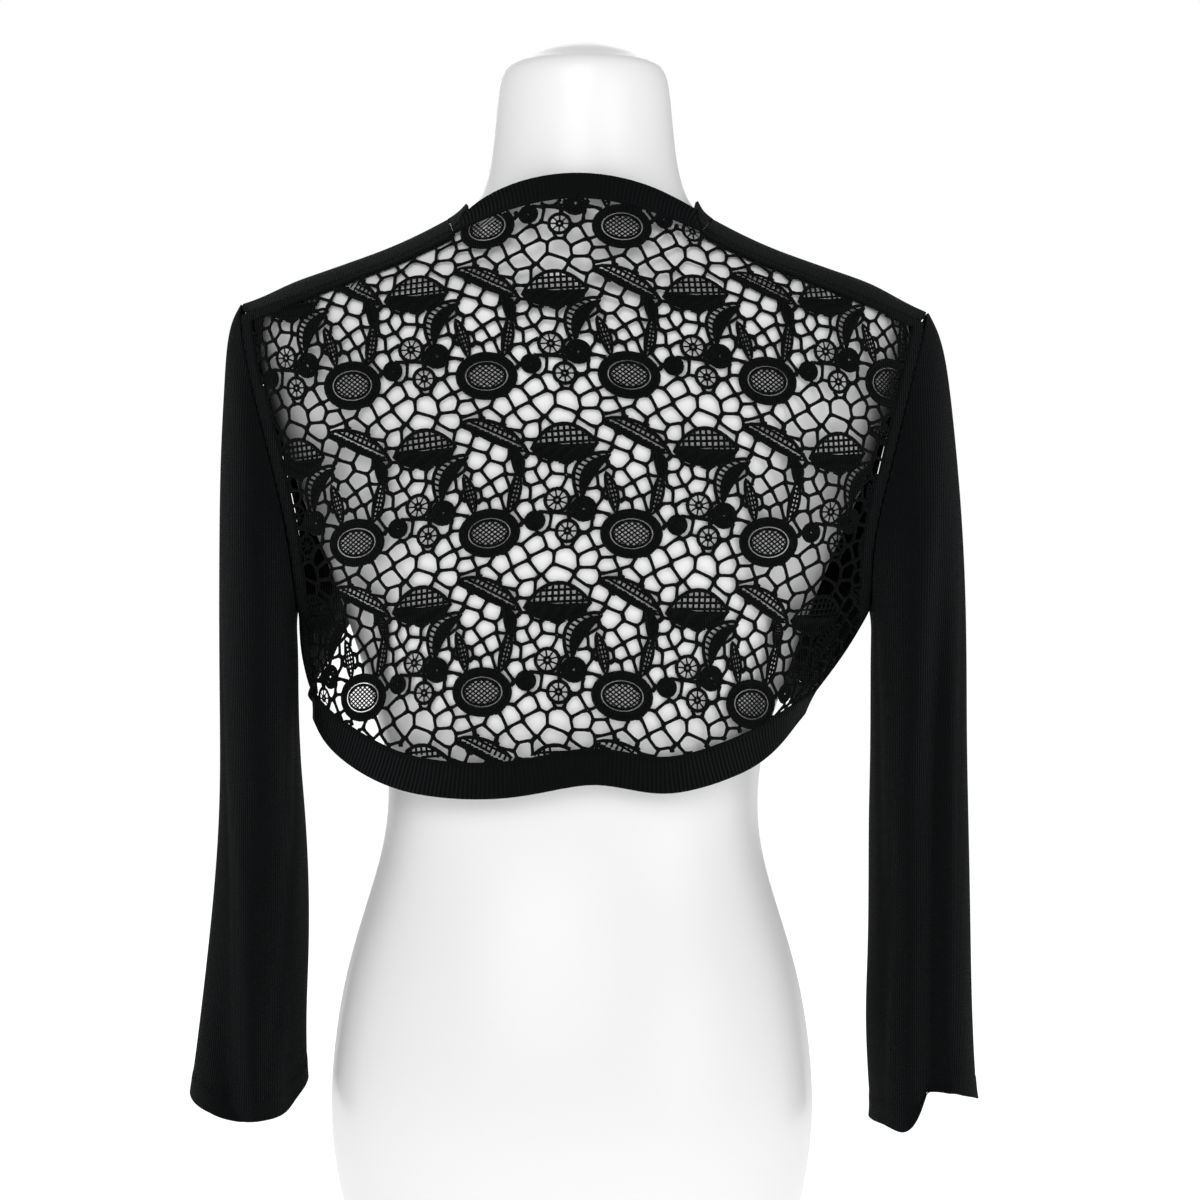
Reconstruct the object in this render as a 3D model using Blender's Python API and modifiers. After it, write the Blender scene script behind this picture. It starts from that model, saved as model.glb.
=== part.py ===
"""Knitted shrug with a lace back, worn by a limbless dress form.

The shrug is seven cut pieces and a ribbed band. The back is one lace panel. Two plain knit fronts
roll over the shoulders to meet it, and two sleeves hang empty from the armholes. The band runs
once round the opening, and is four lengths: nape, left front, right front and hem. Every piece is
a thin open surface given its cloth thickness, and stands clear of the form and of its neighbours.

Metres, +Z up. The wearer faces -Y, so the wearer's left is +X and the lace back faces +Y.
The origin is on the form's flat base, under the waist.
"""

import math

import bmesh
import bpy
import numpy as np
from mathutils import Vector
from mathutils.bvhtree import BVHTree

# Cloth
LACE_WALL = 0.0014
KNIT_WALL = 0.0014
RIB_WALL = 0.0018
SEAM_GAP = 0.0005         # between the two edges that meet at a seam
CLOTH_CLEARANCE = 0.0021  # middle of the cloth wall to the form's surface, at the grid's points
FACE_CLEARANCE = 0.0018   # the same at the middles of its faces
BAND_WIDTH = {"nape": 0.0145, "front": 0.0155, "hem": 0.0200}
BAND_LEAN = {"nape": 50.0, "front": 8.0, "hem": 6.0}  # degrees that its free half tips inward

SIDES = {"left": 1, "right": -1}
NECK_MIDDLE = 0.0005      # the collar sits a little to the wearer's left of the form's neck
BACK_DRAW_IN = 0.012      # how far the back is drawn in towards the shoulder blades
MIN_HALF_ANGLE = math.radians(40)  # sharper bends at a seam are drawn back no further than this
SLEEVE_RADIUS = 0.035     # typical, to turn a fold's depth into a share of the ring
SEAM_SHAPE_REACH = 0.25   # share of the sleeve over which the armhole's own outline fades
STAND_OFF_TOP = 0.0011    # sleeve head beyond the panels' edge at the ridge
STAND_OFF_UNDERARM = 0.0022

# Grid sizes
FINE_STEPS = 400          # samples that measure a curve before it is split evenly
SETTLE_EASE = 0.5         # how far each settling round moves a point to its neighbours' mean
FORM_POINTS = 32
ARMHOLE_POINTS = 28
SEAM_STEP = 2             # the shoulder seam lies two armhole points behind the shoulder ridge
SIDE_STEPS = 4
SHOULDER_STEPS = 7
NECK_STEPS = 6
HEM_STEPS = 2 * SHOULDER_STEPS + NECK_STEPS
FRONT_STEPS = ARMHOLE_POINTS // 2 + SEAM_STEP
SLEEVE_RINGS = 16

# Dress form: one level section a row
FORM_COLUMNS = ("z", "x_mid", "half_width", "back", "front", "power")
FORM_SECTIONS = (
    (0.000, 0.0042, 0.1180, 0.0950, 0.0850, 2.3),
    (0.030, 0.0042, 0.1265, 0.1030, 0.0885, 2.3),
    (0.066, 0.0042, 0.1380, 0.1090, 0.0905, 2.3),
    (0.112, 0.0042, 0.1460, 0.1120, 0.0905, 2.3),
    (0.158, 0.0042, 0.1437, 0.1065, 0.0885, 2.3),
    (0.205, 0.0042, 0.1362, 0.0945, 0.0845, 2.3),
    (0.246, 0.0046, 0.1227, 0.0820, 0.0795, 2.3),
    (0.278, 0.0042, 0.1132, 0.0745, 0.0765, 2.3),
    (0.306, 0.0036, 0.1104, 0.0720, 0.0765, 2.3),
    (0.336, 0.0028, 0.1125, 0.0735, 0.0825, 2.3),
    (0.376, 0.0018, 0.1250, 0.0790, 0.0965, 2.3),
    (0.420, 0.0008, 0.1395, 0.0855, 0.1105, 2.3),
    (0.460, 0.0000, 0.1560, 0.0900, 0.1165, 2.3),
    (0.500, -0.0010, 0.1730, 0.0930, 0.1060, 2.3),
    (0.540, -0.0020, 0.1870, 0.0935, 0.0870, 2.3),
    (0.570, -0.0022, 0.1960, 0.0890, 0.0700, 2.3),
    (0.590, -0.0025, 0.1980, 0.0830, 0.0600, 2.3),
    (0.602, -0.0010, 0.1915, 0.0780, 0.0555, 2.3),
    (0.611, -0.0010, 0.1780, 0.0730, 0.0525, 2.3),
    (0.620, -0.0010, 0.1525, 0.0680, 0.0495, 2.3),
    (0.632, -0.0010, 0.1180, 0.0630, 0.0475, 2.3),
    (0.644, -0.0010, 0.0910, 0.0595, 0.0470, 2.2),
    (0.656, -0.0010, 0.0705, 0.0570, 0.0475, 2.1),
    (0.670, -0.0030, 0.0600, 0.0535, 0.0480, 2.0),
    (0.690, -0.0030, 0.0553, 0.0505, 0.0480, 2.0),
    (0.720, -0.0030, 0.0528, 0.0495, 0.0480, 2.0),
    (0.7455, -0.0030, 0.0503, 0.0480, 0.0465, 2.0),
    (0.7485, -0.0030, 0.0400, 0.0380, 0.0370, 2.0),
    (0.7545, -0.0030, 0.0310, 0.0295, 0.0290, 2.0),
    (0.7590, -0.0030, 0.0160, 0.0155, 0.0150, 2.0),
)

# Armhole seam: how far it stands out from the middle at each angle from the shoulder ridge
ARMHOLE_COLUMNS = ("angle", "left", "right")
ARMHOLE_REACH = (
    (0, 0.2005, 0.2080),
    (30, 0.1996, 0.2040),
    (60, 0.1926, 0.1948),
    (90, 0.1805, 0.1834),
    (120, 0.1702, 0.1732),
    (150, 0.1672, 0.1722),
    (180, 0.1672, 0.1732),
)
ARMHOLE_TOP = {"left": 0.6035, "right": 0.5985}
ARMHOLE_BOTTOM = 0.4190
ARMHOLE_MIDDLE_Y = 0.004
ARMHOLE_HALF_DEPTH = 0.046

# Neckline of the back, from the nape to the shoulder seam, then that seam out to the armhole:
# distance from the neck's middle, y and z
NECKLINE = (
    (0.0000, 0.0655, 0.6625),
    (0.0280, 0.0625, 0.6590),
    (0.0530, 0.0540, 0.6510),
    (0.0725, 0.0425, 0.6415),
)
SHOULDER_SEAM = (
    (0.0725, 0.0425, 0.6415),
    (0.1000, 0.0475, 0.6264),
    (0.1370, 0.0490, 0.6125),
    (0.1740, 0.0460, 0.6010),
)

# Top edge of the hem band across the back, from the right side seam to the left one: x, y and z
HEM_SEAM = (
    (-0.1420, 0.0000, 0.3720),
    (-0.1200, 0.0360, 0.3590),
    (-0.0970, 0.0550, 0.3460),
    (-0.0750, 0.0670, 0.3385),
    (-0.0520, 0.0755, 0.3325),
    (-0.0280, 0.0800, 0.3365),
    (-0.0080, 0.0815, 0.3400),
    (0.0200, 0.0810, 0.3345),
    (0.0450, 0.0780, 0.3305),
    (0.0750, 0.0700, 0.3305),
    (0.1000, 0.0590, 0.3340),
    (0.1260, 0.0410, 0.3450),
    (0.1480, 0.0200, 0.3590),
    (0.1600, 0.0000, 0.3700),
)
SIDE_MIDDLE = {"left": (0.1660, 0.003, 0.3950), "right": (-0.1600, 0.002, 0.3965)}

# Edge of each front, from the shoulder seam over the ridge and down to the side seam
OPENING_COLUMNS = ("step", "x", "y", "z")
OPENING_EDGE = {
    "left": (
        (1, 0.0770, 0.0230, 0.6510),
        (2, 0.0785, 0.0040, 0.6535),
        (3, 0.0790, -0.0140, 0.6505),
        (4, 0.0795, -0.0300, 0.6420),
        (6, 0.0830, -0.0500, 0.6150),
        (8, 0.0905, -0.0690, 0.5690),
        (10, 0.1010, -0.0890, 0.5180),
        (12, 0.1140, -0.0930, 0.4740),
        (14, 0.1320, -0.0800, 0.4400),
        (16, 0.1460, -0.0600, 0.4160),
        (18, 0.1550, -0.0380, 0.3965),
        (20, 0.1590, -0.0180, 0.3810),
    ),
    "right": (
        (1, 0.0770, 0.0230, 0.6485),
        (2, 0.0785, 0.0040, 0.6505),
        (3, 0.0790, -0.0140, 0.6475),
        (4, 0.0795, -0.0300, 0.6395),
        (6, 0.0820, -0.0500, 0.6140),
        (8, 0.0880, -0.0690, 0.5690),
        (10, 0.0950, -0.0900, 0.5180),
        (12, 0.1010, -0.0990, 0.4740),
        (14, 0.1080, -0.0980, 0.4400),
        (16, 0.1150, -0.0900, 0.4140),
        (18, 0.1220, -0.0740, 0.3930),
        (20, 0.1300, -0.0540, 0.3790),
    ),
}

# Sleeves: one section a row, given by its outermost and innermost points
SLEEVE_COLUMNS = ("x_outer", "z_outer", "x_inner", "z_inner", "y_mid", "half_depth")
SLEEVE_SECTIONS = {
    "left": (
        (0.2005, 0.6035, 0.1680, 0.4180, 0.0040, 0.0460),
        (0.2082, 0.5890, 0.1690, 0.4100, 0.0040, 0.0475),
        (0.2108, 0.5600, 0.1690, 0.4010, 0.0030, 0.0490),
        (0.2138, 0.5150, 0.1690, 0.3860, 0.0020, 0.0500),
        (0.2148, 0.4600, 0.1690, 0.3620, 0.0000, 0.0490),
        (0.2152, 0.4000, 0.1680, 0.3300, -0.0020, 0.0470),
        (0.2150, 0.3400, 0.1650, 0.2950, -0.0030, 0.0450),
        (0.2160, 0.2850, 0.1630, 0.2580, -0.0040, 0.0430),
        (0.2210, 0.2300, 0.1627, 0.2170, -0.0040, 0.0420),
        (0.2268, 0.1850, 0.1645, 0.1780, -0.0040, 0.0420),
        (0.2320, 0.1450, 0.1633, 0.1500, -0.0040, 0.0430),
        (0.2330, 0.1325, 0.1630, 0.1390, -0.0040, 0.0430),
    ),
    "right": (
        (0.2080, 0.5985, 0.1740, 0.4180, 0.0040, 0.0460),
        (0.2148, 0.5850, 0.1750, 0.4100, 0.0040, 0.0475),
        (0.2198, 0.5640, 0.1752, 0.4010, 0.0030, 0.0490),
        (0.2252, 0.5180, 0.1755, 0.3860, 0.0020, 0.0500),
        (0.2300, 0.4600, 0.1755, 0.3620, 0.0000, 0.0490),
        (0.2320, 0.4000, 0.1755, 0.3300, -0.0020, 0.0475),
        (0.2322, 0.3400, 0.1746, 0.2950, -0.0030, 0.0460),
        (0.2336, 0.2850, 0.1746, 0.2580, -0.0040, 0.0450),
        (0.2346, 0.2300, 0.1740, 0.2170, -0.0040, 0.0445),
        (0.2356, 0.1850, 0.1720, 0.1780, -0.0040, 0.0440),
        (0.2378, 0.1450, 0.1748, 0.1420, -0.0040, 0.0440),
        (0.2392, 0.1270, 0.1742, 0.1190, -0.0040, 0.0440),
    ),
}
# Lower edge of each cuff, by angle round it from the outside through the back
CUFF_COLUMNS = ("angle", "left", "right")
CUFF_EDGE = (
    (0, 0.1325, 0.1262),
    (45, 0.1240, 0.1318),
    (75, 0.1185, 0.1352),
    (90, 0.1175, 0.1352),
    (103, 0.1180, 0.1165),
    (140, 0.1230, 0.1150),
    (180, 0.1390, 0.1165),
    (270, 0.1290, 0.1250),
    (360, 0.1325, 0.1262),
)
CUFF_FROM = 0.70          # share of the sleeve's length where it starts to follow that edge
# Sleeve folds: troughs that run down the cloth between two heights and two angles
FOLD_COLUMNS = ("share_top", "share_bottom", "angle_top", "angle_bottom", "depth", "spread")
FOLDS = {
    "left": (
        (0.52, 0.84, 15, 75, 0.0040, 16),
        (0.68, 1.08, 34, 95, 0.0090, 18),
        (0.80, 1.10, 140, 155, 0.0060, 14),
        (0.20, 0.90, 290, 255, 0.0070, 22),
        (0.55, 1.10, 225, 215, 0.0060, 18),
    ),
    "right": (
        (0.30, 1.10, 68, 88, 0.0110, 17),
        (0.50, 0.84, 90, 118, 0.0040, 13),
        (0.52, 0.90, 118, 152, 0.0045, 14),
        (0.20, 0.95, 285, 262, 0.0080, 22),
        (0.60, 1.10, 225, 205, 0.0050, 18),
    ),
}
FOLD_EASE = 0.16          # share of the length over which a fold grows from nothing

COLLECTION = "knitted_shrug_on_dress_form"


def cell(row, columns, name):
    """One value of a table row, by its column's name."""
    return row[columns.index(name)]


def column(rows, columns, name):
    """One column of a table."""
    return np.array([cell(row, columns, name) for row in rows])


def smooth(keys, values, at):
    """Values on a smooth curve through the ones given at rising keys."""
    keys = np.asarray(keys, float)
    values = np.asarray(values, float)
    at = np.asarray(at, float)
    slopes = np.gradient(values, keys, axis=0)
    i = np.clip(np.searchsorted(keys, at, side="right") - 1, 0, len(keys) - 2)
    span = keys[i + 1] - keys[i]
    u = (at - keys[i]) / span
    if values.ndim == 2:
        span, u = span[:, None], u[:, None]
    return (
        (1 + 2 * u) * (1 - u) ** 2 * values[i]
        + u * (1 - u) ** 2 * span * slopes[i]
        + u * u * (3 - 2 * u) * values[i + 1]
        + u * u * (u - 1) * span * slopes[i + 1]
    )


def evenly(points, steps):
    """Points the same distance apart on a smooth curve through the ones given."""
    points = np.asarray(points, float)
    keys = np.concatenate(([0], np.cumsum(np.linalg.norm(np.diff(points, axis=0), axis=1))))
    fine = smooth(keys, points, np.linspace(0, keys[-1], FINE_STEPS))
    run = np.concatenate(([0], np.cumsum(np.linalg.norm(np.diff(fine, axis=0), axis=1))))
    at = np.linspace(0, run[-1], steps + 1)
    return np.stack([np.interp(at, run, fine[:, axis]) for axis in range(3)], axis=1)


def unit(vectors):
    """The same directions, one unit long."""
    return vectors / np.maximum(np.linalg.norm(vectors, axis=-1, keepdims=True), 1e-12)


def patch(low, high, first, last):
    """A smooth grid between four edges: low and high run across, first and last run up."""
    s = np.linspace(0, 1, len(low))[None, :, None]
    t = np.linspace(0, 1, len(first))[:, None, None]
    across = (1 - s) * first[:, None] + s * last[:, None]
    upward = (1 - t) * low[None] + t * high[None]
    corners = (
        (1 - s) * (1 - t) * low[0] + s * (1 - t) * low[-1] + (1 - s) * t * high[0] + s * t * high[-1]
    )
    return across + upward - corners


def material(name, colour, roughness):
    """A plain Principled BSDF material."""
    made = bpy.data.materials.new(name)
    made.use_nodes = True
    shader = made.node_tree.nodes["Principled BSDF"]
    shader.inputs["Base Color"].default_value = (*colour, 1.0)
    shader.inputs["Roughness"].default_value = roughness
    return made


def add_object(name, bm, finish):
    """Turn a bmesh into a named object in the part's collection."""
    mesh = bpy.data.meshes.new(name)
    bm.to_mesh(mesh)
    bm.free()
    mesh.shade_smooth()
    mesh.materials.append(finish)
    made = bpy.data.objects.new(name, mesh)
    bpy.data.collections[COLLECTION].objects.link(made)
    return made


def loft(bm, rows, closed):
    """Faces between neighbouring rows of points, each row a ring if closed."""
    verts = [[bm.verts.new(point) for point in row] for row in rows]
    count = len(rows[0])
    for low, high in zip(verts, verts[1:]):
        for i in range(count if closed else count - 1):
            j = (i + 1) % count
            bm.faces.new((low[i], low[j], high[j], high[i]))
    return verts


def cloth(name, rows, wall, finish, closed=False):
    """A cloth piece: an open surface through rows of points, with its wall thickness."""
    bm = bmesh.new()
    loft(bm, rows, closed)
    made = add_object(name, bm, finish)
    shell = made.modifiers.new("wall", "SOLIDIFY")
    shell.thickness = wall
    shell.offset = 0.0
    shell.use_even_offset = True
    return made


def form_ring(row):
    """One level section of the dress form: a superellipse, deeper or shallower at the back."""
    angles = np.linspace(0, 2 * math.pi, FORM_POINTS, endpoint=False)
    exponent = 2 / cell(row, FORM_COLUMNS, "power")
    across = np.sign(np.cos(angles)) * np.abs(np.cos(angles)) ** exponent
    along = np.sign(np.sin(angles)) * np.abs(np.sin(angles)) ** exponent
    depth = np.where(along > 0, cell(row, FORM_COLUMNS, "back"), cell(row, FORM_COLUMNS, "front"))
    x = cell(row, FORM_COLUMNS, "x_mid") + cell(row, FORM_COLUMNS, "half_width") * across
    z = np.full(FORM_POINTS, cell(row, FORM_COLUMNS, "z"))
    return np.stack((x, depth * along, z), axis=1)


def dress_form(finish):
    """The limbless form: one closed solid with a flat base. Returns a tree for clearances."""
    bm = bmesh.new()
    rings = loft(bm, [form_ring(row) for row in FORM_SECTIONS], closed=True)
    bm.faces.new(list(reversed(rings[0])))
    bm.faces.new(rings[-1])
    bm.normal_update()
    tree = BVHTree.FromBMesh(bm)
    add_object("dress_form", bm, finish)
    return tree


def clear_of(tree, point, gap=CLOTH_CLEARANCE):
    """The point itself, or the nearest place that is the gap away from the form."""
    near, normal, _, distance = tree.find_nearest(Vector(point))
    away = Vector(point) - near
    if away.dot(normal) > 0 and distance >= gap:
        return np.array(point)
    outward = away.normalized() if away.dot(normal) > 0 and distance > 1e-5 else normal
    return np.array(near + outward * gap)


def all_clear(tree, grid, gap=CLOTH_CLEARANCE):
    """Every point of a grid or line, kept clear of the form."""
    flat = [clear_of(tree, point, gap) for point in grid.reshape(-1, 3)]
    return np.array(flat).reshape(grid.shape)


def raise_faces(tree, grid, moving, rounds=6):
    """Lift the moving points until the faces between them clear the form as well."""
    for _ in range(rounds):
        push = np.zeros_like(grid)
        across = (grid[:, :-1] + grid[:, 1:]) / 2
        samples = (
            (across, ((0, 0), (0, 1))),
            ((grid[:-1] + grid[1:]) / 2, ((0, 0), (1, 0))),
            ((across[:-1] + across[1:]) / 2, ((0, 0), (0, 1), (1, 0), (1, 1))),
        )
        for middles, corners in samples:
            shift = all_clear(tree, middles, FACE_CLEARANCE) - middles
            length = np.linalg.norm(shift, axis=-1)
            for up, over in corners:
                held = push[up:up + middles.shape[0], over:over + middles.shape[1]]
                longer = length > np.linalg.norm(held, axis=-1)
                held[longer] = shift[longer]
        grid = grid + push * moving[..., None]
    return grid


def seam_line(tree, points):
    """A seam line kept clear of the form, between its points too. Its ends stay put."""
    line = all_clear(tree, np.asarray(points, float))[None]
    moving = np.ones(line.shape[:2])
    moving[:, [0, -1]] = 0
    return raise_faces(tree, line, moving)[0]


def settle(tree, grid, rounds=3):
    """Lay a grid over the form: its inner points are eased, and its faces are kept clear."""
    grid = grid.copy()
    for _ in range(rounds):
        around = grid[:-2, 1:-1] + grid[2:, 1:-1] + grid[1:-1, :-2] + grid[1:-1, 2:]
        eased = (1 - SETTLE_EASE) * grid[1:-1, 1:-1] + SETTLE_EASE * around / 4
        grid[1:-1, 1:-1] = all_clear(tree, eased)
    moving = np.zeros(grid.shape[:2])
    moving[1:-1, 1:-1] = 1
    return raise_faces(tree, grid, moving)


def grid_edges(grid):
    """Each edge of a grid: where its points are, and which way the cloth lies from them."""
    rows, columns = grid.shape[:2]
    places = (
        ([(0, i) for i in range(columns)], [(1, i) for i in range(columns)]),
        ([(-1, i) for i in range(columns)], [(-2, i) for i in range(columns)]),
        ([(j, 0) for j in range(rows)], [(j, 1) for j in range(rows)]),
        ([(j, -1) for j in range(rows)], [(j, -2) for j in range(rows)]),
    )
    for edge, inside in places:
        line = np.array([grid[place] for place in edge])
        cloth_way = np.array([grid[place] for place in inside]) - line
        run = unit(np.gradient(line, axis=0))
        yield edge, line, unit(cloth_way - np.sum(cloth_way * run, axis=1, keepdims=True) * run)


def seam_key(point):
    """The same key for points that lie at one place."""
    return tuple(np.round(point, 6))


def part_at_seams(grids, walls):
    """Draw each piece back from the pieces that it meets, further where the cloth bends."""
    meeting = {}
    for name, grid in grids.items():
        for _, line, cloth_way in grid_edges(grid):
            for point, way in zip(line, cloth_way):
                meeting.setdefault(seam_key(point), []).append((name, way))
    parted = {}
    for name, grid in grids.items():
        parted[name] = grid.copy()
        for edge, line, cloth_way in grid_edges(grid):
            for place, point, way in zip(edge, line, cloth_way):
                others = [other for piece, other in meeting[seam_key(point)] if piece != name]
                if not others:
                    continue
                straightest = min(float(np.dot(way, other)) for other in others)
                half_angle = max(math.acos(max(-1.0, min(1.0, straightest))) / 2, MIN_HALF_ANGLE)
                back = SEAM_GAP / 2 / math.sin(half_angle) + walls[name] / 2 / math.tan(half_angle)
                parted[name][place] += way * back
    return parted


def armhole(side, steps):
    """Points on the armhole seam, by steps round it from the ridge, backwards first."""
    angles = np.asarray(steps, float) * 360 / ARMHOLE_POINTS
    level = (ARMHOLE_TOP[side] + ARMHOLE_BOTTOM) / 2
    reach = (ARMHOLE_TOP[side] - ARMHOLE_BOTTOM) / 2
    around = np.abs((angles + 180) % 360 - 180)
    x = SIDES[side] * smooth(
        column(ARMHOLE_REACH, ARMHOLE_COLUMNS, "angle"),
        column(ARMHOLE_REACH, ARMHOLE_COLUMNS, side),
        around,
    )
    y = ARMHOLE_MIDDLE_Y + ARMHOLE_HALF_DEPTH * np.sin(np.radians(angles))
    z = level + reach * np.cos(np.radians(angles))
    return np.stack((x, y, z), axis=1)


def side_seam(side, hem_end):
    """Points from the underarm down to the hem band."""
    underarm = armhole(side, [ARMHOLE_POINTS // 2])[0]
    return evenly((underarm, SIDE_MIDDLE[side], hem_end), SIDE_STEPS)


def on_side(side, rows):
    """Neck or shoulder rows as points on one side."""
    return [(NECK_MIDDLE + SIDES[side] * out, y, z) for out, y, z in rows]


def shoulder_seam(side):
    """Points from the neck out to the armhole."""
    end = armhole(side, [SEAM_STEP])
    return evenly(np.concatenate((on_side(side, SHOULDER_SEAM), end)), SHOULDER_STEPS)


def neckline():
    """Points round the nape, from the left shoulder seam to the right one."""
    left = on_side("left", reversed(NECKLINE))
    return evenly(left + on_side("right", NECKLINE[1:]), NECK_STEPS)


def opening_edge(side, neck_point):
    """Edge of a front, from the shoulder seam to the corner near the side seam."""
    rows = OPENING_EDGE[side]
    x = SIDES[side] * column(rows, OPENING_COLUMNS, "x")
    y = column(rows, OPENING_COLUMNS, "y")
    z = column(rows, OPENING_COLUMNS, "z")
    steps = np.concatenate(([0], column(rows, OPENING_COLUMNS, "step")))
    points = np.concatenate(([neck_point], np.stack((x, y, z), axis=1)))
    return smooth(steps, points, np.arange(FRONT_STEPS + SIDE_STEPS + 1))


def back_edges(tree):
    """The seam lines shared by the back, the fronts and the band, kept clear of the form."""
    hem = evenly(HEM_SEAM, HEM_STEPS)[::-1]
    edges = {"hem": hem, "neck": neckline()}
    for side, end in (("left", hem[0]), ("right", hem[-1])):
        edges["shoulder_" + side] = shoulder_seam(side)
        edges["side_" + side] = side_seam(side, end)
        edges["opening_" + side] = opening_edge(side, edges["shoulder_" + side][0])
    return {name: seam_line(tree, line) for name, line in edges.items()}


def back_grid(tree, edges):
    """Lace back, hem to shoulders, from the left side seam to the right one."""
    half = ARMHOLE_POINTS // 2
    top = np.concatenate(
        (edges["shoulder_left"][::-1], edges["neck"][1:-1], edges["shoulder_right"])
    )
    sides = []
    for side in SIDES:
        up_armhole = armhole(side, np.arange(half - 1, SEAM_STEP - 1, -1))
        up_armhole[-1] = edges["shoulder_" + side][-1]
        sides.append(np.concatenate((edges["side_" + side][::-1], up_armhole)))
    grid = patch(edges["hem"], top, *sides)
    s = np.linspace(-1, 1, grid.shape[1])[None, :]
    t = np.linspace(0, 1, grid.shape[0])[:, None]
    grid[:, :, 1] -= BACK_DRAW_IN * (1 - s * s) ** 2 * np.sin(math.pi * t)
    return settle(tree, grid)


def front_grid(tree, edges, side):
    """A front, from the shoulder seam to the hem corner, armhole to opening edge."""
    down_armhole = armhole(side, SEAM_STEP - np.arange(FRONT_STEPS))
    down_armhole[0] = edges["shoulder_" + side][-1]
    outer = np.concatenate((down_armhole, edges["side_" + side]))
    inner = edges["opening_" + side]
    seam = edges["shoulder_" + side][::-1]
    corner = evenly((outer[-1], (outer[-1] + inner[-1]) / 2, inner[-1]), SHOULDER_STEPS)
    return settle(tree, patch(seam, corner, outer, inner))


def band_line(edges, back, fronts):
    """The band's seam, stretch by stretch: piece, place, the seam's points and those inside it."""
    left, right = fronts["left"], fronts["right"]
    return (
        ("front_band_left", "front", left[:, -1], left[:, -2]),
        ("front_band_left", "front", left[-1, ::-1], left[-2, ::-1]),
        ("hem_band", "hem", back[0], back[1]),
        ("front_band_right", "front", right[-1], right[-2]),
        ("front_band_right", "front", right[::-1, -1], right[::-1, -2]),
        ("neck_band", "nape", edges["neck"][::-1], back[-2, SHOULDER_STEPS:-SHOULDER_STEPS][::-1]),
    )


def band_grid(tree, edges, back, fronts):
    """The closed ribbon round the opening, as three rows, and each point's piece."""
    line, inside, owner, zone = [], [], [], []
    for piece, place, seam, neighbours in band_line(edges, back, fronts):
        for point, neighbour in zip(seam[:-1], neighbours[:-1]):
            line.append(point)
            inside.append(neighbour)
            owner.append(piece)
            zone.append(place)
    line, inside = np.array(line), np.array(inside)
    tangent = unit(np.roll(line, -1, axis=0) - np.roll(line, 1, axis=0))
    width = np.array([BAND_WIDTH[place] for place in zone])
    lean = np.radians([BAND_LEAN[place] for place in zone])
    outward = unit(line - inside)
    outward = unit(outward - np.sum(outward * tangent, axis=1, keepdims=True) * tangent)
    for _ in range(3):
        outward = unit(np.roll(outward, 1, 0) + 2 * outward + np.roll(outward, -1, 0))
        width = (np.roll(width, 1) + 2 * width + np.roll(width, -1)) / 4
        lean = (np.roll(lean, 1) + 2 * lean + np.roll(lean, -1)) / 4
    inward = unit(np.cross(outward, tangent))
    middle = line + outward * width[:, None] / 2
    tipped = outward * np.cos(lean)[:, None] + inward * np.sin(lean)[:, None]
    free = middle + tipped * width[:, None] / 2
    start = owner.index("hem_band") + HEM_STEPS // 2
    rows = np.roll(np.array((line, middle, free)), -start, axis=1)
    rows[1:] = all_clear(tree, rows[1:])
    moving = np.ones(rows.shape[:2])
    moving[0] = 0
    return raise_faces(tree, rows, moving), owner[start:] + owner[:start]


def band_pieces(rows, owner):
    """Split the ribbon at the shoulder and side seams."""
    count = len(owner)
    for piece in dict.fromkeys(owner):
        first = next(i for i in range(count) if owner[i] == piece and owner[i - 1] != piece)
        length = owner.count(piece)
        picked = [(first + i) % count for i in range(length + 1)]
        yield piece, rows[:, picked]


def sleeve_rings(side):
    """A sleeve's rings from the armhole to the cuff: outside, back, inside, front."""
    rows = SLEEVE_SECTIONS[side]
    keys = np.linspace(0, 1, len(rows))
    shares = np.linspace(0, 1, SLEEVE_RINGS)
    section = dict(zip(SLEEVE_COLUMNS, smooth(keys, rows, shares).T))
    x_middle = (section["x_outer"] + section["x_inner"]) / 2
    x_half = (section["x_outer"] - section["x_inner"]) / 2
    z_middle = (section["z_outer"] + section["z_inner"]) / 2
    z_half = (section["z_outer"] - section["z_inner"]) / 2
    angles = np.linspace(0, 2 * math.pi, ARMHOLE_POINTS, endpoint=False)
    cuff = smooth(
        column(CUFF_EDGE, CUFF_COLUMNS, "angle"),
        column(CUFF_EDGE, CUFF_COLUMNS, side),
        np.degrees(angles),
    )
    seam = armhole(side, np.arange(ARMHOLE_POINTS))
    rings = []
    for i, share in enumerate(shares):
        swell = fold_swell(side, share, angles)
        x = x_middle[i] + x_half[i] * np.cos(angles) * swell
        y = section["y_mid"][i] + section["half_depth"][i] * np.sin(angles) * swell
        z = z_middle[i] + z_half[i] * np.cos(angles)
        follow = max(0.0, (share - CUFF_FROM) / (1 - CUFF_FROM)) ** 2
        z = z + follow * (cuff - z)
        ring = np.stack((SIDES[side] * x, y, z), axis=1)
        if i == 0:
            shift = seam - ring
        rings.append(ring + shift * max(0.0, 1 - share / SEAM_SHAPE_REACH) ** 2)
    return np.array(rings) + seam_stand_off(side, angles, shares)


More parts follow.
